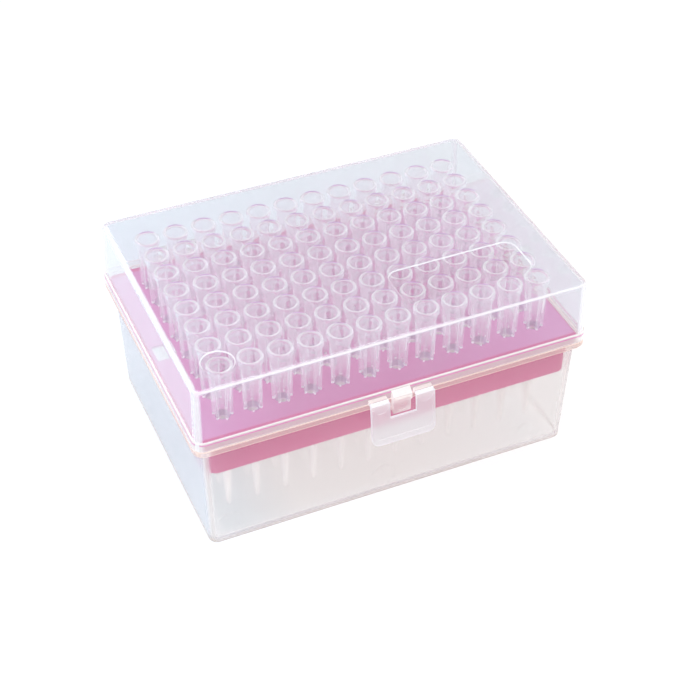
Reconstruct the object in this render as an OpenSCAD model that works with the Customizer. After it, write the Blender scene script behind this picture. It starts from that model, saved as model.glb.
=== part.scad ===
// Hinged box of pipette tips: base, lift-out rack, 96 ribbed tips, clear lid and latch flap.
// Origin at the centre of the underside, +Z up, +X along the row of twelve, -Y the latch side.

/* [Tip array] */
// Distance between neighbouring tips
pitch = 9; // [9:0.1:9.2]
// Radius of a tip's rolled rim
rim_r = 3.85; // [3.7:0.05:3.95]
// Radius of the tip's mouth
mouth_r = 2.78; // [2.6:0.02:2.85]
// Height of a tip above the rack deck
tip_up = 17.4; // [16.5:0.1:17.5]
// Length of a tip below the rack deck
tip_down = 35.1; // [30:0.1:36]
// Thickness of the six ribs
rib_t = 0.5; // [0.4:0.05:0.6]

/* [Rack] */
// Height of the deck above the table
deck_z = 41.5; // [41.2:0.1:41.6]
// Half length of the deck
deck_hx = 59.6; // [59.3:0.1:59.7]
// Half width of the deck
deck_hy = 41.5; // [41.3:0.1:41.6]
// Thickness of the deck
deck_t = 1.9; // [1.6:0.1:1.9]
// Radius of a tip hole
hole_r = 2.36; // [2.35:0.01:2.5]
// Depth of the skirt below the deck's top
skirt_h = 13.7; // [11:0.1:15]
// Thickness of the skirt
skirt_t = 1.2; // [1:0.1:1.4]

/* [Base] */
// Half length of the base at the table
base_hx = 58.3; // [58.1:0.1:58.4]
// Half width of the base at the table
base_hy = 40.9; // [40.7:0.1:41]
// Draft of the walls, as growth in half size from the table to the rim
base_draft = 1; // [0.7:0.1:1.1]
// Thickness of the walls
wall_t = 1.3; // [1.2:0.1:1.4]
// Thickness of the floor
floor_t = 1.6; // [1.4:0.1:1.8]
// Half length of the rim flange
rim_hx = 61.8; // [61.7:0.05:61.9]
// Half width of the rim flange
rim_hy = 43.5; // [43.4:0.1:43.6]
// Height of the rim flange's top
rim_z = 40; // [39.9:0.05:40]

/* [Lid] */
// Total height of the closed box
lid_top = 61.4; // [61.2:0.1:61.8]
// Half length of the lid at its top
lid_hx = 60.8; // [60.7:0.1:60.9]
// Half width of the lid at its top
lid_hy = 42.8; // [42.7:0.1:42.9]
// Thickness of the lid
lid_t = 1.1; // [1:0.05:1.2]
// Gap between the closed lid and the base rim
seam = 0.15; // [0.1:0.05:0.3]
// Width of the label window sunk in the top
label_w = 42; // [30:1:44]
// Depth of the label window across the box
label_d = 16; // [12:1:18]

/* [Latch] */
// Width of the flap
flap_w = 20; // [19:0.1:21]
// Length of the flap below its hinge
flap_l = 14.3; // [13:0.1:15.5]
// Thickness of the flap
flap_t = 0.95; // [0.9:0.05:1]
// Width of the notch around the lug
notch_w = 8.4; // [8:0.1:9]
// Outward lean of the hanging flap, in degrees
flap_lean = 6.5; // [5:0.5:8]

/* [Hinge] */
// Distance from the box centre to each hinge
hinge_x = 36; // [28:1:42]
// Radius of the hinge pin
pin_r = 1.5; // [1.3:0.1:1.6]
// Running clearance around the pin
pin_gap = 0.06; // [0.04:0.01:0.08]

/* [Hidden] */
cols = 12;
rows = 8;
hinge_y = 46.6;
hinge_z = 40.15;
knuckle_w = 11;
knuckle_r = 2.7;
bead_y = -45.35;
bead_z = 41.15;
bead_r = 0.55;
latch_x = -0.2;
arm_x0 = notch_w / 2 + 0.1;
arm_x1 = flap_w / 2 - 0.15;
lid_z0 = rim_z + seam;
lug_front = -45.75;
wall_top = 36.6;
draft_deg = atan(base_draft / wall_top);
mark_z = 7.2;
round_fn = 64;
hull_fn = 32;

// ---------- shared outlines ----------

// Rectangle with true arcs at its corners, by half sizes.
module rr(hx, hy, r) {
  square([2 * hx, 2 * (hy - r)], center = true);
  square([2 * (hx - r), 2 * hy], center = true);
  for (sx = [-1, 1], sy = [-1, 1])
    translate([sx * (hx - r), sy * (hy - r)]) circle(r, $fn = round_fn);
}

module slab(hx, hy, r, z0, z1) {
  translate([0, 0, z0]) linear_extrude(z1 - z0) rr(hx, hy, r);
}

// Thin layer used as one level of a hull.
module level(hx, hy, r, z) {
  for (sx = [-1, 1], sy = [-1, 1])
    translate([sx * (hx - r), sy * (hy - r), z]) cylinder(h = 0.01, r = r, $fn = hull_fn);
}

// Corner bead of a hull: plan radius rp, edge radius re, top or bottom at z.
module corners(hx, hy, rp, re, z) {
  for (sx = [-1, 1], sy = [-1, 1])
    translate([sx * (hx - rp), sy * (hy - rp), z])
      rotate_extrude($fn = hull_fn)
        translate([rp - re, 0]) intersection() {
          circle(re, $fn = hull_fn);
          translate([0, -re]) square([re, 2 * re]);
        }
}

// ---------- base ----------

module base_outer() {
  hull() {
    corners(base_hx, base_hy, 2.8, 0.5, 0.5);
    level(base_hx + base_draft, base_hy + base_draft, 2.8, wall_top);
  }
  // rim flange, rounded underneath into the wall
  hull() {
    level(base_hx + base_draft, base_hy + base_draft, 2.8, wall_top - 0.1);
    level(base_hx + base_draft, base_hy + base_draft, 2.8, wall_top + 0.3);
    level(rim_hx - 0.45, rim_hy - 0.45, 3, 37.75);
    level(rim_hx - 0.1, rim_hy - 0.1, 3.3, 38.2);
    level(rim_hx, rim_hy, 3.4, 38.6);
    level(rim_hx, rim_hy, 3.4, rim_z - 0.25);
    level(rim_hx - 0.24, rim_hy - 0.24, 3.2, rim_z - 0.01);
  }
  // thin lip that stands inside the lid flange
  slab(60.7, 42.4, 2.9, rim_z - 1, deck_z + 0.35);
}

module base_cavity() {
  hull() {
    corners(base_hx - wall_t, base_hy - wall_t, 1.8, 0.8, floor_t + 0.8);
    level(base_hx - wall_t + base_draft, base_hy - wall_t + base_draft, 1.8, 38.2);
  }
  slab(base_hx - wall_t + base_draft, base_hy - wall_t + base_draft, 1.8, 38.1, deck_z + 1);
  // pocket that seats the deck
  slab(deck_hx + 0.2, deck_hy + 0.15, 2.2, deck_z - deck_t, deck_z + 1);
}

// Catch lug: sloped cap over a narrower body, in front of the lid flange.
module lug() {
  difference() {
    union() {
      translate([-2.7, 0, 0]) rotate([90, 0, 90]) linear_extrude(5.4)
        polygon([[-41, 35.55], [lug_front + 0.35, 35.55], [lug_front + 0.35, 40.2], [-43.8, 40.2], [-43.8, 39.7], [-41, 39.7]]);
      translate([-2.9, 0, 0]) rotate([90, 0, 90]) linear_extrude(5.8)
        polygon([[-43.82, 39.95], [lug_front, 39.95], [lug_front, 41.7], [lug_front + 0.2, 42], [-44.02, 43.24], [-43.82, 43.3]]);
    }
    // sunk square ring on the front of the body
    translate([0, lug_front + 0.35, 37.6]) difference() {
      cube([2.4, 0.3, 2.4], center = true);
      cube([1.2, 0.4, 1.2], center = true);
    }
    // two sunk dashes on the sloped cap
    for (k = [0, 1])
      translate([0.3, -44.75 - 0.5 * k, 42.68 - 0.403 * k]) rotate([38.9, 0, 0])
        cube([1.5, 0.24, 0.22], center = true);
  }
}

// Rear hinge bracket: two cheeks with the pin between them.
module base_bracket(x) {
  translate([x, 0, 0]) {
    for (s = [-1, 1]) translate([s * (knuckle_w / 2 + 1.55), 0, 0]) {
      translate([-1.25, hinge_y, hinge_z]) rotate([0, 90, 0])
        cylinder(h = 2.5, r = 2.6, $fn = round_fn);
      translate([-1.25, 42.6, hinge_z - 2.6]) cube([2.5, hinge_y - 42.6, 2.4]);
      // web that carries the cheek down onto the wall
      translate([1.25, 0, 0]) rotate([90, 0, -90]) linear_extrude(2.5)
        polygon([[-41.2, 31], [-41.95, 31], [-hinge_y, hinge_z - 2.5], [-41.2, hinge_z - 2.5]]);
    }
    translate([-knuckle_w / 2 - 1, hinge_y, hinge_z]) rotate([0, 90, 0])
      cylinder(h = knuckle_w + 2, r = pin_r, $fn = round_fn);
  }
}

module base() {
  color([0.88, 0.87, 0.87, 0.6]) {
    difference() {
      base_outer();
      base_cavity();
      // three fine circles on the front wall, square to its draft
      for (k = [-1, 0, 1])
        translate([-3.6 + 49.2 * k, -base_hy - base_draft * mark_z / wall_top, mark_z]) rotate([90 + draft_deg, 0, 0])
          translate([0, 0, -0.12]) difference() {
            cylinder(h = 1, r = 4.2, $fn = round_fn);
            translate([0, 0, -1]) cylinder(h = 3, r = 3.95, $fn = round_fn);
          }
    }
    lug();
    for (s = [-1, 1]) base_bracket(s * hinge_x);
  }
}

// ---------- rack ----------

// Deck with a bevelled top edge: prisms along the sides, cones at the corners.
module deck() {
  c = 0.4;
  r = 2;
  slab(deck_hx, deck_hy, r, deck_z - deck_t, deck_z - c);
  translate([-deck_hx + r, 0, deck_z - c]) rotate([90, 0, 90]) linear_extrude(2 * (deck_hx - r))
    polygon([[-deck_hy, 0], [deck_hy, 0], [deck_hy - c, c], [c - deck_hy, c]]);
  translate([0, deck_hy - r, deck_z - c]) rotate([90, 0, 0]) linear_extrude(2 * (deck_hy - r))
    polygon([[-deck_hx, 0], [deck_hx, 0], [deck_hx - c, c], [c - deck_hx, c]]);
  for (sx = [-1, 1], sy = [-1, 1])
    translate([sx * (deck_hx - r), sy * (deck_hy - r), deck_z - c])
      cylinder(h = c, r1 = r, r2 = r - c, $fn = round_fn);
}

module rack() {
  sx = 57.3;
  sy = 39.8;
  color([0.86, 0.48, 0.72])
  difference() {
    union() {
      deck();
      difference() {
        slab(sx, sy, 3, deck_z - skirt_h, deck_z - deck_t + 0.2);
        slab(sx - skirt_t, sy - skirt_t, 1.8, deck_z - skirt_h - 1, deck_z - deck_t);
      }
    }
    for (i = [0 : cols - 1], j = [0 : rows - 1])
      translate([(i - 5.5) * pitch, (j - 3.5) * pitch, deck_z - deck_t - 1])
        cylinder(h = deck_t + 2, r = hole_r, $fn = round_fn);
    // lifting slots at both ends, over wide finger cut-outs in the skirt
    for (s = [-1, 1]) {
      translate([s * 56.18 - 1.97, -3.4, deck_z - deck_t - 0.5]) cube([3.94, 6.8, deck_t + 1]);
      translate([s * 56.18 - 1.97, -5.6, deck_z - deck_t - 0.5]) cube([3.94, 11.2, deck_t - 0.2]);
      translate([s * 56.7 - 1.2, -18.5, deck_z - skirt_h - 1]) cube([2.4, 37, skirt_h - deck_t + 1]);
    }
  }
}

// ---------- tips ----------

module tip_shell() {
  rotate_extrude($fn = round_fn)
    polygon([
      [0.5, -tip_down], [1.25, -23], [2.16, -deck_t], [2.21, 0], [3.0, 12], [3.1, 13.4],
      [3.36, 14.2], [3.36, 15.4], [rim_r - 0.2, 15.7], [rim_r, 15.9], [rim_r, tip_up - 0.2],
      [rim_r - 0.05, tip_up - 0.06], [rim_r - 0.16, tip_up], [mouth_r + 0.32, tip_up],
      [mouth_r + 0.08, tip_up - 0.18], [mouth_r, tip_up - 0.5], [mouth_r - 0.14, 12], [1.83, 0], [1.77, -deck_t],
      [0.85, -23], [0.23, -tip_down]]);
}

module rib() {
  rotate([90, 0, 0]) translate([0, 0, -rib_t / 2]) linear_extrude(rib_t)
    polygon([[2.0, 0], [2.93, 0], [3.3, 14.6], [3.0, 14.6], [2.8, 12]]);
}

module tip(turn) {
  tip_shell();
  for (k = [0 : 5]) rotate([0, 0, turn + 60 * k]) rib();
}

// One column of eight tips for a multichannel pipette, c counted from the left.
module tips_column(c) {
  color([0.95, 0.93, 0.92, 0.55])
  for (j = [0 : rows - 1])
    translate([(c - 6.5) * pitch, (j - 3.5) * pitch, deck_z])
      tip((c * 37 + j * 23 + c * j * 11) % 60);
}

// ---------- lid ----------

module lid_outer() {
  hull() {
    corners(lid_hx, lid_hy, 2.9, 1.45, lid_top - 1.45);
    level(lid_hx + 0.5, lid_hy + 0.4, 3, 42.9);
  }
  // flange over the seam, with a rounded shoulder
  hull() {
    level(rim_hx - 0.2, rim_hy - 0.15, 3.15, lid_z0);
    level(rim_hx + 0.05, rim_hy + 0.1, 3.4, lid_z0 + 0.3);
    level(rim_hx + 0.05, rim_hy + 0.1, 3.4, 42.8);
    level(rim_hx - 0.05, rim_hy, 3.3, 43.2);
    level(rim_hx - 0.45, rim_hy - 0.3, 3, 43.5);
  }
}

module lid_cavity() {
  hull() {
    corners(lid_hx - lid_t, lid_hy - lid_t, 1.9, 0.9, lid_top - lid_t - 0.9);
    level(lid_hx - lid_t + 0.6, lid_hy - lid_t + 0.45, 2, 38.6);
  }
  slab(60.95, 42.65, 3.1, 38.6, 42.7);
}

// Hinge ear: arm from the flange to a knuckle that turns on the base's pin.
module lid_ear(x) {
  translate([x, 0, 0]) difference() {
    union() {
      translate([-knuckle_w / 2, hinge_y, hinge_z]) rotate([0, 90, 0])
        cylinder(h = knuckle_w, r = knuckle_r, $fn = round_fn);
      translate([-knuckle_w / 2, 42.9, lid_z0 + 0.1]) cube([knuckle_w, hinge_y - 42.9, 2.4]);
    }
    translate([-knuckle_w, hinge_y, hinge_z]) rotate([0, 90, 0])
      cylinder(h = 2 * knuckle_w, r = pin_r + pin_gap, $fn = round_fn);
  }
}

// Ledge that carries one arm of the flap, grooved around the flap's hinge bead.
module lid_ledge(s) {
  difference() {
    translate([latch_x + (s > 0 ? arm_x0 : -arm_x1), bead_y + 0.25, bead_z - 0.7]) cube([arm_x1 - arm_x0, 1.95, 1.35]);
    translate([-12, bead_y, bead_z]) rotate([0, 90, 0])
      cylinder(h = 24, r = bead_r + 0.06, $fn = round_fn);
  }
}

module lid() {
  color([0.9, 0.93, 0.97, 0.35])
  union() {
    difference() {
      lid_outer();
      lid_cavity();
      // label window and round field, sunk in the top with bevelled edges
      translate([28.7, -22.6, 0]) hull() {
        level(label_w / 2 - 0.3, label_d / 2 - 0.3, 3.7, lid_top - 0.3);
        level(label_w / 2, label_d / 2, 4, lid_top + 0.01);
      }
      translate([-50.25, -32.6, lid_top - 0.3]) cylinder(h = 0.32, r1 = 4.6, r2 = 4.92, $fn = round_fn);
    }
    for (s = [-1, 1]) lid_ear(s * hinge_x);
    for (s = [-1, 1]) lid_ledge(s);
  }
}

// ---------- latch ----------

// Flap outline, hinge line at v = 0 and hanging to v = -flap_l.
module flap_outline(d) {
  hw = flap_w / 2 - d;
  r = 2.3 - d * 0.6;
  difference() {
    union() {
      translate([-hw, -flap_l + d + r]) square([2 * hw, flap_l - d - r]);
      translate([-hw + r, -flap_l + d]) square([2 * (hw - r), r + 1]);
      for (s = [-1, 1]) translate([s * (hw - r), -flap_l + d + r]) circle(r, $fn = round_fn);
    }
    translate([-notch_w / 2, -5.6]) square([notch_w, 8]);
  }
}

module latch() {
  color([0.92, 0.92, 0.97, 0.45])
  translate([latch_x, bead_y, bead_z]) {
    rotate([-flap_lean, 0, 0]) difference() {
      union() {
        // plate
        translate([0, -0.05, 0]) rotate([90, 0, 0]) linear_extrude(flap_t) flap_outline(0);
        // raised border on the outer face
        translate([0, -0.05 - flap_t + 0.01, 0]) rotate([90, 0, 0]) linear_extrude(0.2) difference() {
          flap_outline(0.15);
          translate([0, 1.2]) flap_outline(0.95);
          translate([-notch_w / 2 - 0.6, -6.3]) square([notch_w + 1.2, 8]);
          translate([-12, -1.2]) square([24, 4]);
        }
      }
      // shallow crescents on the outer face, below the hinge
      for (s = [-1, 1])
        translate([s * 6.95, -flap_t - 0.05, -1]) rotate([90, 0, 0])
          difference() {
            cylinder(h = 0.24, r = 2.1, center = true, $fn = round_fn);
            cylinder(h = 1, r = 1.75, center = true, $fn = round_fn);
            translate([-3, 0.1, -1]) cube([6, 3, 2]);
          }
    }
    for (s = [-1, 1])
      translate([s > 0 ? arm_x0 : -arm_x1, 0, 0]) rotate([0, 90, 0])
        cylinder(h = arm_x1 - arm_x0, r = bead_r, $fn = round_fn);
  }
}

base();
rack();
lid();
latch();
tips_column(1);  // tips_column_01
tips_column(2);  // tips_column_02
tips_column(3);  // tips_column_03
tips_column(4);  // tips_column_04
tips_column(5);  // tips_column_05
tips_column(6);  // tips_column_06
tips_column(7);  // tips_column_07
tips_column(8);  // tips_column_08
tips_column(9);  // tips_column_09
tips_column(10);  // tips_column_10
tips_column(11);  // tips_column_11
tips_column(12);  // tips_column_12
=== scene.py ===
import math

import bmesh
import bpy
from mathutils import Matrix, Vector


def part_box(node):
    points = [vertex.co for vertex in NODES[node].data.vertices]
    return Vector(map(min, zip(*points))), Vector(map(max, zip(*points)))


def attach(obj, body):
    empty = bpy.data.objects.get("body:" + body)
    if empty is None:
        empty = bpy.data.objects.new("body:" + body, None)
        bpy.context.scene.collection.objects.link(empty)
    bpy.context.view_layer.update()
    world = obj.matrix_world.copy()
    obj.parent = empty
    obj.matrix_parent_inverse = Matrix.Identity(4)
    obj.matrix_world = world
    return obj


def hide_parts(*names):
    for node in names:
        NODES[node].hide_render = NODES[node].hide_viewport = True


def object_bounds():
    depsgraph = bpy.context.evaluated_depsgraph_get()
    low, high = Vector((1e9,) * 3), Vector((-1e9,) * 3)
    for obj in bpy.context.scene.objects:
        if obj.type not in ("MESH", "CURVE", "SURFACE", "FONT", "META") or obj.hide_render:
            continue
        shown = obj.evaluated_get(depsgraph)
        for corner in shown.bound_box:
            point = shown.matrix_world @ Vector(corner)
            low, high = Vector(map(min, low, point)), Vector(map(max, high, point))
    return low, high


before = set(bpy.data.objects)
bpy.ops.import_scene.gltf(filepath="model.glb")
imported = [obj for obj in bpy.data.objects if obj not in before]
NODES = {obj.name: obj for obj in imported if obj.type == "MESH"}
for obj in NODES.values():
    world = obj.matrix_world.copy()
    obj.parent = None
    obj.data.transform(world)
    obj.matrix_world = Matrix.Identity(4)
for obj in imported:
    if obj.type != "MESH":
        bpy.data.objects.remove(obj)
CAD_BOX = [[float(c) for c in v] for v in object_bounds()]
COLUMNS = [f"tips_column_{i:02d}" for i in range(1, 13)]
MM = 0.001
PITCH = 0.009

base_lo, base_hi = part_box("base")
lid_lo, lid_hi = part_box("lid")
rack_lo, rack_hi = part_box("rack")
DECK = rack_hi.z
LID_TOP = lid_hi.z


# ---------- node helpers ----------

class Tree:
    """A material under construction. Values that are sockets are linked, others are set."""

    def __init__(self, name):
        self.mat = bpy.data.materials.new(name)
        self.mat.use_nodes = True
        self.nt = self.mat.node_tree
        self.nt.nodes.clear()
        self.out = self.nt.nodes.new("ShaderNodeOutputMaterial")
        self.coord = self.nt.nodes.new("ShaderNodeTexCoord").outputs["Object"]

    def put(self, socket, value):
        if isinstance(value, bpy.types.NodeSocket):
            self.nt.links.new(value, socket)
        elif value is not None:
            socket.default_value = value

    def node(self, kind, props=None, **inputs):
        n = self.nt.nodes.new("ShaderNode" + kind)
        for k, v in (props or {}).items():
            setattr(n, k, v)
        for k, v in inputs.items():
            key = int(k[1:]) if k[0] == "i" and k[1:].isdigit() else k.replace("_", " ")
            self.put(n.inputs[key], v)
        return n

    def math(self, op, a, b=None, c=None, clamp=False):
        n = self.node("Math", {"operation": op, "use_clamp": clamp})
        for i, v in enumerate((a, b, c)):
            if v is not None:
                self.put(n.inputs[i], v)
        return n.outputs[0]

    def mix(self, fac, a, b):
        n = self.node("Mix", {"data_type": "RGBA"})
        self.put(n.inputs[0], fac)
        self.put(n.inputs[6], a)
        self.put(n.inputs[7], b)
        return n.outputs[2]

    def shader_mix(self, fac, a, b):
        n = self.node("MixShader")
        self.put(n.inputs[0], fac)
        self.nt.links.new(a, n.inputs[1])
        self.nt.links.new(b, n.inputs[2])
        return n.outputs[0]

    def xyz(self):
        return self.node("SeparateXYZ", Vector=self.coord).outputs

    def noise(self, scale, detail=3.0, rough=0.5, vector=None, distortion=0.0):
        return self.node("TexNoise", Vector=vector or self.coord, Scale=scale, Detail=detail,
                         Roughness=rough, Distortion=distortion).outputs[0]

    def ramp(self, fac, stops):
        n = self.node("ValToRGB")
        self.put(n.inputs[0], fac)
        e = n.color_ramp.elements
        while len(e) < len(stops):
            e.new(0.5)
        for el, (p, c) in zip(e, stops):
            el.position = p
            el.color = c if len(c) == 4 else (*c, 1.0)
        return n.outputs[0]

    def band(self, value, lo, hi, soft):
        """1 between lo and hi, falling to 0 over soft on each side."""
        a = self.node("MapRange", Value=value, i1=lo - soft, i2=lo, i3=0.0, i4=1.0).outputs[0]
        b = self.node("MapRange", Value=value, i1=hi, i2=hi + soft, i3=1.0, i4=0.0).outputs[0]
        return self.math("MULTIPLY", a, b)

    def bump(self, height, strength, distance):
        return self.node("Bump", Height=height, Strength=strength, Distance=distance).outputs[0]

    def facing(self):
        return self.node("LayerWeight", Blend=0.5).outputs[1]

    def face_value(self, name):
        """A number that the mesh code wrote on each face."""
        return self.node("Attribute", {"attribute_name": name}).outputs["Fac"]

    def rounded(self, lo, hi):
        """0 where the surface is square to an axis of the box, rising to 1 on its rounded edges."""
        n = self.node("TexCoord").outputs["Normal"]
        axes = [self.math("ABSOLUTE", v) for v in self.node("SeparateXYZ", Vector=n).outputs[0:3]]
        most = self.math("MAXIMUM", self.math("MAXIMUM", axes[0], axes[1]), axes[2])
        return self.node("MapRange", Value=self.math("SUBTRACT", 1.0, most), i1=lo, i2=hi, i3=0.0, i4=1.0).outputs[0]

    def finish(self, shader):
        self.nt.links.new(shader, self.out.inputs[0])
        return self.mat


def bent_plastic(t, haze, milk, tint, rough, normal=None, translucent=0.5, ior=1.49):
    """Solid see-through plastic: light bends at every surface, with a milky haze and a gloss that follows the angle."""
    diffuse = t.node("BsdfDiffuse", Color=milk, Roughness=0.0)
    through = t.node("BsdfTranslucent", Color=milk)
    refract = t.node("BsdfRefraction", Color=tint, Roughness=rough, IOR=ior)
    gloss = t.node("BsdfGlossy", Color=(1, 1, 1, 1), Roughness=rough)
    fresnel = t.node("Fresnel", IOR=ior)
    if normal is not None:
        for n in (diffuse, through, refract, gloss, fresnel):
            t.put(n.inputs["Normal"], normal)
    glass = t.shader_mix(fresnel.outputs[0], refract.outputs[0], gloss.outputs[0])
    body = t.shader_mix(translucent, diffuse.outputs[0], through.outputs[0])
    return t.finish(t.shader_mix(haze, glass, body))


# ---------- materials ----------

def lid_material():
    t = Tree("clear_lid")
    x, y, z = t.xyz()[0:3]
    # the sunk label window and the sunk disc are polished, the rest has a fine moulded haze
    label = t.math("MULTIPLY", t.band(x, 0.0079, 0.0495, 0.0002), t.band(y, -0.0304, -0.0148, 0.0002))
    dx = t.math("SUBTRACT", x, -0.05025)
    dy = t.math("SUBTRACT", y, -0.0326)
    disc = t.math("LESS_THAN", t.math("ADD", t.math("MULTIPLY", dx, dx), t.math("MULTIPLY", dy, dy)), 0.0047 ** 2)
    roof = t.math("GREATER_THAN", z, LID_TOP - 0.0015)
    polished = t.math("MULTIPLY", t.math("MAXIMUM", label, disc), roof)
    veil = t.math("MULTIPLY_ADD", t.noise(70, 2.0, 0.5), 0.05, 0.035)
    veil = t.math("MULTIPLY", veil, t.math("MULTIPLY_ADD", polished, -0.9, 1.0))
    flange = t.face_value("flange")
    veil = t.math("MULTIPLY_ADD", t.math("POWER", t.facing(), 3.0), 0.08, veil)
    # the rounded edges get extra haze and a whiter milk: partly the plastic's own milkiness, partly a painted highlight
    # for the bright bands along the edges
    edges = t.math("MULTIPLY", t.rounded(0.045, 0.20), t.math("MULTIPLY_ADD", flange, -0.65, 1.0))
    groove = t.math("MULTIPLY", t.math("MULTIPLY", flange, t.math("LESS_THAN", y, 0.0425)), t.band(z, DECK + 0.00098, DECK + 0.00145, 0.00008))
    crown = t.node("MapRange", Value=z, i1=LID_TOP - 0.004, i2=LID_TOP - 0.002, i3=0.66, i4=0.47).outputs[0]
    haze = t.math("MULTIPLY_ADD", edges, crown, t.math("MULTIPLY_ADD", flange, 0.26, veil), clamp=True)
    haze = t.math("MULTIPLY_ADD", groove, 0.62, t.math("MULTIPLY", haze, t.math("SUBTRACT", 1.0, groove)))
    milk = t.mix(flange, t.mix(edges, (0.89, 0.93, 0.98, 1), (0.96, 0.955, 0.94, 1)), (0.96, 0.90, 0.85, 1))
    milk = t.mix(groove, milk, (0.74, 0.24, 0.48, 1))
    return bent_plastic(t, haze, milk, (0.924, 0.935, 0.943, 1), 0.03)


def base_material():
    t = Tree("frosted_base")
    lug = t.face_value("lug")
    rim = t.face_value("rim")
    cloud = t.math("MULTIPLY_ADD", t.noise(60, 2.0, 0.5), 0.04, 0.04)
    cloud = t.math("MULTIPLY_ADD", t.math("POWER", t.facing(), 3.0), 0.15, cloud)
    edges = t.rounded(0.03, 0.25)
    haze = t.math("MULTIPLY_ADD", edges, 0.50, cloud)
    # painted light: the left wall gets extra haze and a bluish milk, standing in for the bluish light that falls on
    # that side
    left = t.face_value("left")
    haze = t.math("MULTIPLY_ADD", left, 0.17, haze)
    sole = t.node("MapRange", Value=t.xyz()[2], i1=0.0012, i2=0.0022, i3=1.0, i4=0.0).outputs[0]
    sole = t.math("MULTIPLY", sole, t.face_value("side"))
    haze = t.math("MULTIPLY_ADD", sole, 0.38, haze)
    haze = t.math("ADD", haze, t.math("MULTIPLY_ADD", lug, 0.42, t.math("MULTIPLY", rim, 0.42)), clamp=True)
    warm = t.math("MAXIMUM", lug, rim)
    plain = t.mix(left, (0.93, 0.91, 0.91, 1), (0.70, 0.77, 0.86, 1))
    plain = t.mix(edges, plain, (0.90, 0.865, 0.83, 1))
    plain = t.mix(sole, plain, (0.76, 0.69, 0.635, 1))
    milk = t.mix(warm, plain, t.mix(lug, (0.95, 0.82, 0.74, 1), (0.97, 0.93, 0.90, 1)))
    rough = t.math("MULTIPLY_ADD", warm, -0.1, 0.20)
    return bent_plastic(t, haze, milk, (0.956, 0.948, 0.944, 1), rough)


def latch_material():
    t = Tree("clear_flap")
    cloud = t.math("MULTIPLY_ADD", t.noise(300, 2.0, 0.5), 0.08, 0.24)
    haze = t.math("MULTIPLY_ADD", t.math("MAXIMUM", t.rounded(0.03, 0.25), t.face_value("edge")), 0.40, cloud, clamp=True)
    return bent_plastic(t, haze, (0.90, 0.90, 0.915, 1), (0.98, 0.98, 0.985, 1), 0.38)


def tip_material():
    t = Tree("natural_tips")
    z = t.xyz()[2]
    # ribs, rim and the long cone under the deck are milkier than the thin wall; the rim top's extra milk is also a
    # painted highlight, and rib feet carry a painted highlight
    milky = t.face_value("milky")
    thick = t.math("MINIMUM", milky, 1.0)
    foot = t.math("MULTIPLY", t.math("GREATER_THAN", milky, 0.9), t.band(z, DECK - 0.0004, DECK + 0.0005, 0.0002))
    edge = t.math("MULTIPLY", t.math("POWER", t.facing(), 2.5), t.math("MULTIPLY_ADD", thick, 0.24, 0.10))
    haze = t.math("ADD", edge, t.math("MULTIPLY_ADD", milky, 0.15, 0.035))
    haze = t.math("MULTIPLY_ADD", foot, 0.9, haze, clamp=True)
    # painted shade: inside the deck hole the tip turns a hazy dark lilac, standing in for the shade in the hole
    painted_hole_shade = t.band(z, DECK - 0.0021, DECK - 0.0001, 0.0001)
    haze = t.math("MULTIPLY_ADD", painted_hole_shade, 0.42, haze, clamp=True)
    top = t.node("MapRange", Value=milky, i1=1.0, i2=2.4, i3=0.0, i4=1.0).outputs[0]
    milk = t.mix(top, (0.93, 0.885, 0.908, 1), (0.96, 0.93, 0.90, 1))
    milk = t.mix(painted_hole_shade, milk, (0.70, 0.50, 0.74, 1))
    # painted shade: a dark purple arc on the side of each rim lip that faces away from the viewer, standing in for the
    # shaded inner face of the back lip with the pink deck seen through it
    from_axis = [t.math("SUBTRACT", t.math("FRACT", t.math("DIVIDE", v, PITCH)), 0.5) for v in t.xyz()[0:2]]
    lean = t.node("CombineXYZ", X=from_axis[0], Y=from_axis[1], Z=0.54).outputs[0]
    lean = t.node("VectorMath", {"operation": "NORMALIZE"}, i0=lean).outputs[0]
    far = t.node("LayerWeight", Blend=0.5, Normal=lean).outputs[1]
    far = t.node("MapRange", Value=far, i1=0.875, i2=0.925, i3=0.0, i4=1.0).outputs[0]
    radius = t.math("SQRT", t.math("ADD", t.math("POWER", from_axis[0], 2.0), t.math("POWER", from_axis[1], 2.0)))
    lip = t.math("MULTIPLY", t.math("GREATER_THAN", z, DECK + 0.0172), t.math("GREATER_THAN", radius, 0.00318 / PITCH))
    painted_rim_shade = t.math("MULTIPLY", lip, far)
    haze = t.math("MULTIPLY_ADD", painted_rim_shade, 0.55, haze, clamp=True)
    milk = t.mix(painted_rim_shade, milk, (0.58, 0.34, 0.60, 1))
    return bent_plastic(t, haze, milk, (0.975, 0.966, 0.972, 1), 0.02)


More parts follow.
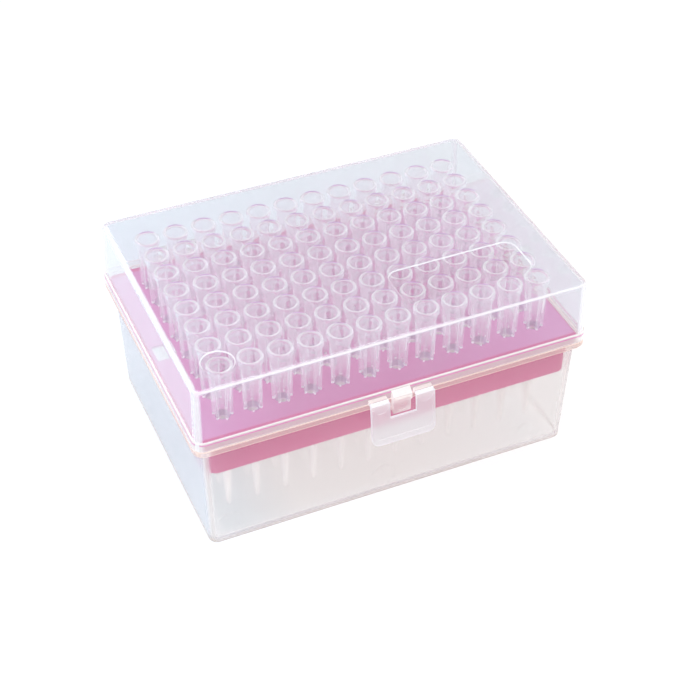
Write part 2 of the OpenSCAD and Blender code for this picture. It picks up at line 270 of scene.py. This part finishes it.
def rack_material():
    t = Tree("pink_rack")
    z = t.xyz()[2]
    soft = t.noise(45, 3.0, 0.55)
    fine = t.noise(1400, 2.0, 0.6)
    deck = t.node("MapRange", Value=z, i1=DECK - 0.004, i2=DECK - 0.0015, i3=0.0, i4=1.0).outputs[0]
    # painted shade: the skirt turns darker towards its top, just under the deck
    skirt_top_shade = t.node("MapRange", Value=z, i1=DECK - 0.0137, i2=DECK - 0.005, i3=0.0, i4=1.0).outputs[0]
    low = t.mix(t.math("MULTIPLY_ADD", soft, 0.3, t.math("MULTIPLY", skirt_top_shade, 0.8)), (0.79, 0.155, 0.36, 1), (0.68, 0.096, 0.275, 1))
    high = t.mix(soft, (0.53, 0.125, 0.325, 1), (0.57, 0.145, 0.355, 1))
    # painted light: the deck top turns paler towards its left and right ends, as if lit more there
    painted_end_light = t.node("MapRange", Value=t.xyz()[0], i1=-0.056, i2=-0.030, i3=1.0, i4=0.0).outputs[0]
    high = t.mix(painted_end_light, high, (0.635, 0.212, 0.46, 1))
    painted_end_light = t.node("MapRange", Value=t.xyz()[0], i1=0.015, i2=0.055, i3=0.0, i4=1.0).outputs[0]
    high = t.mix(painted_end_light, high, (0.625, 0.220, 0.455, 1))
    dx = t.math("SUBTRACT", rack_hi.x, t.math("ABSOLUTE", t.xyz()[0]))
    dy = t.math("SUBTRACT", rack_hi.y - 0.0015, t.math("ABSOLUTE", t.xyz()[1]))
    rim = t.node("MapRange", Value=t.math("MINIMUM", dx, dy), i1=0.0002, i2=0.0008, i3=1.0, i4=0.0).outputs[0]
    high = t.mix(rim, high, (0.60, 0.070, 0.250, 1))
    colour = t.mix(deck, low, high)
    bump = t.bump(t.math("ADD", fine, soft), 0.06, 0.0004)
    rough = t.math("MULTIPLY_ADD", soft, 0.1, 0.33)
    p = t.node("BsdfPrincipled", Base_Color=colour, Roughness=rough, Normal=bump)
    p.inputs["IOR"].default_value = 1.49
    p.inputs["Subsurface Weight"].default_value = 0.0
    glow = t.node("BsdfTranslucent", Color=colour)
    return t.finish(t.shader_mix(0.2, p.outputs[0], glow.outputs[0]))


MATERIALS = {
    "lid_clear": lid_material(),
    "base_frosted": base_material(),
    "latch_clear": latch_material(),
    "tip_natural": tip_material(),
    "rack_pink": rack_material(),
}


# ---------- pieces ----------

def skin(node, name, body, slot, angle=40.0, marks=None):
    """A smooth-shaded surface made from a CAD node's own shape. marks gives numbers to write on its faces."""
    mesh = NODES[node].data.copy()
    mesh.name = name
    bm = bmesh.new()
    bm.from_mesh(mesh)
    bmesh.ops.remove_doubles(bm, verts=bm.verts, dist=2e-6)
    bmesh.ops.dissolve_degenerate(bm, edges=bm.edges, dist=1e-6)
    bmesh.ops.recalc_face_normals(bm, faces=bm.faces)
    for f in bm.faces:
        f.smooth = True
    for e in bm.edges:
        e.smooth = not (len(e.link_faces) == 2 and e.calc_face_angle(0.0) > math.radians(angle))
    bm.to_mesh(mesh)
    bm.free()
    if "custom_normal" in mesh.attributes:
        mesh.attributes.remove(mesh.attributes["custom_normal"])
    for key, rule in (marks or {}).items():
        layer = mesh.attributes.new(key, "FLOAT", "FACE")
        layer.data.foreach_set("value", [rule(f.center / MM, f.normal) for f in mesh.polygons])
    o = bpy.data.objects.new(name, mesh)
    bpy.context.scene.collection.objects.link(o)
    mesh.materials.clear()
    mesh.materials.append(MATERIALS[slot])
    w = o.modifiers.new("weighted", "WEIGHTED_NORMAL")
    w.keep_sharp = True
    w.weight = 80
    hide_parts(node)
    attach(o, body)
    if slot != "rack_pink":
        # clear plastic lets the lamps through
        o.visible_shadow = False
        o.visible_diffuse = False
    return o


def on_lug(c, n):
    return float(abs(c.x) < 3.05 and c.y < -43.7 and 35.3 < c.z < 43.5)


def on_rim(c, n):
    outside = abs(c.x) > base_hi.x / MM - 2.6 or abs(c.y) > 42.05
    return float(outside and 36.7 < c.z < 40.05 and not on_lug(c, n))


def on_left(c, n):
    return float(n.x < -0.95 and c.x < -50.0)


def on_side(c, n):
    return float(n.x * c.x + n.y * c.y > 0.0 and (abs(n.x) > 0.3 or abs(n.y) > 0.3))


def on_flange(c, n):
    outside = abs(c.x) > lid_hi.x / MM - 0.6 or c.y < -42.95 or c.y > 42.95
    return float(outside and c.z < 43.45)


def on_edge(c, n):
    return float(abs(n.y) < 0.7)


def milky(c, n):
    """How milky a tip is at a face: 0 on the thin wall, 1 on a rib, more on the rim and on the cone under the deck; the
    rim top's value also carries a painted highlight.
    """
    up = c.z - DECK / MM
    dx = (c.x / 9.0) % 1.0 - 0.5
    dy = (c.y / 9.0) % 1.0 - 0.5
    r = 9.0 * math.hypot(dx, dy)
    if up < -1.8:
        return 3.0
    if up > 17.1 and n.z > 0.35:
        return 2.2 if r < 3.5 else 0.0
    if up > 15.5:
        return 0.0 if r < 2.95 else 0.5
    across = abs(n.x * dx + n.y * dy) / max(math.hypot(dx, dy), 1e-6)
    rib = across < 0.5 and abs(n.z) < 0.3 and up > -0.1
    end = r > 2.6 and up < 12 and across > 0.8
    return 1.0 if rib or end else 0.0


skin("base", "base_tub", "base", "base_frosted", marks={"lug": on_lug, "rim": on_rim, "left": on_left, "side": on_side})
skin("rack", "rack_insert", "base", "rack_pink")
skin("lid", "lid_cover", "lid", "lid_clear", marks={"flange": on_flange})
skin("latch", "latch_flap", "latch", "latch_clear", angle=50, marks={"edge": on_edge})
for c in COLUMNS:
    skin(c, c + "_set", "base", "tip_natural", angle=50, marks={"milky": milky})


# ---------- camera ----------

cam_data = bpy.data.cameras.new("camera")
cam_data.sensor_fit = "HORIZONTAL"
cam_data.sensor_width = 36.0
cam_data.lens = 1570.81 / 700 * 36
cam_data.clip_start = 0.01
cam_data.clip_end = 20
camera = bpy.data.objects.new("camera", cam_data)
bpy.context.scene.collection.objects.link(camera)
right = Vector((0.91542, -0.40247, 0.00430)).normalized()
forward = Vector((0.30881, 0.69544, -0.64885)).normalized()
up = right.cross(forward).normalized()
right = forward.cross(up).normalized()
rot = Matrix((right, up, -forward)).transposed()
camera.matrix_world = Matrix.Translation((-0.14838, -0.34237, 0.29988 + DECK)) @ rot.to_4x4()
bpy.context.scene.camera = camera


# ---------- floor, world and lights ----------

floor_mesh = bpy.data.meshes.new("floor")
bm = bmesh.new()
bmesh.ops.create_grid(bm, x_segments=1, y_segments=1, size=6.0)
bm.to_mesh(floor_mesh)
bm.free()
floor = bpy.data.objects.new("floor", floor_mesh)
floor.location.z = min(0.0, CAD_BOX[0][2]) - 0.00005
bpy.context.scene.collection.objects.link(floor)
ft = Tree("pale_floor")
floor_colour = ft.mix(ft.noise(3.0, 2.0), (0.93, 0.93, 0.93, 1), (0.95, 0.95, 0.95, 1))
matte = ft.node("BsdfDiffuse", Color=floor_colour, Roughness=0.5)
fx, fy = ft.xyz()[0:2]
across = ft.math("MULTIPLY_ADD", fx, 0.915, ft.math("MULTIPLY", fy, -0.402))
cool = ft.node("MapRange", Value=across, i1=-0.10, i2=0.05, i3=1.0, i4=0.0).outputs[0]
shade = ft.ramp(ft.node("MapRange", Value=fx, i1=-0.06, i2=0.06, i3=0.0, i4=1.0).outputs[0],
                [(0.11, (0.72, 0.82, 0.86)), (0.26, (0.885, 0.885, 0.86)), (0.55, (0.92, 0.90, 0.875)), (0.9, (0.95, 0.96, 0.96))])
under = ft.math("MULTIPLY", ft.band(fx, -0.052, 0.052, 0.005), ft.band(fy, -0.036, 0.036, 0.005))
open_floor = ft.mix(cool, (1.0, 0.99, 0.985, 1), (0.985, 1.065, 1.14, 1))
lit = ft.node("Emission", Color=ft.mix(under, open_floor, shade), Strength=1.04)
floor_mesh.materials.append(ft.finish(ft.shader_mix(0.2, lit.outputs[0], matte.outputs[0])))

world = bpy.data.worlds.new("studio")
world.use_nodes = True
wt = world.node_tree
side = wt.nodes.new("ShaderNodeSeparateXYZ")
wt.links.new(wt.nodes.new("ShaderNodeTexCoord").outputs["Generated"], side.inputs[0])
span = wt.nodes.new("ShaderNodeMapRange")
wt.links.new(side.outputs[0], span.inputs[0])
span.inputs[1].default_value, span.inputs[2].default_value = -0.8, 0.8
tone = wt.nodes.new("ShaderNodeMix")
tone.data_type = "RGBA"
wt.links.new(span.outputs[0], tone.inputs[0])
tone.inputs[6].default_value = (0.78, 0.93, 1.10, 1)
tone.inputs[7].default_value = (1.02, 0.97, 0.95, 1)
wt.links.new(tone.outputs[2], wt.nodes["Background"].inputs[0])
wt.nodes["Background"].inputs[1].default_value = 0.74
bpy.context.scene.world = world


def softbox(name, place, target, size, power, colour=(1, 1, 1)):
    light = bpy.data.lights.new(name, "AREA")
    light.shape = "RECTANGLE"
    light.size, light.size_y = size
    light.energy = power
    light.color = colour
    o = bpy.data.objects.new(name, light)
    bpy.context.scene.collection.objects.link(o)
    o.location = place
    o.visible_camera = False
    o.rotation_euler = (Vector(target) - Vector(place)).to_track_quat("-Z", "Y").to_euler()
    return o


softbox("overhead", (0.0, 0.1, 1.1), (0, 0, 0), (0.9, 0.9), 5.6)
softbox("left_back", (-0.75, 0.75, 0.45), (0, 0, 0.04), (0.5, 0.5), 3.2, (0.90, 0.96, 1.0))
softbox("left_high", (-0.20, -0.03, 0.24), (-0.04, 0, 0.04), (0.14, 0.14), 0.15, (1.0, 0.96, 1.0))
softbox("front_right", (0.35, -0.7, 0.75), (0, 0, 0.03), (0.8, 0.6), 2.5, (1.0, 0.98, 0.95))

scene = bpy.context.scene
scene.view_settings.view_transform = "Standard"
scene.cycles.max_bounces = 48
scene.cycles.transmission_bounces = 48
scene.cycles.glossy_bounces = 32

bpy.context.view_layer.update()
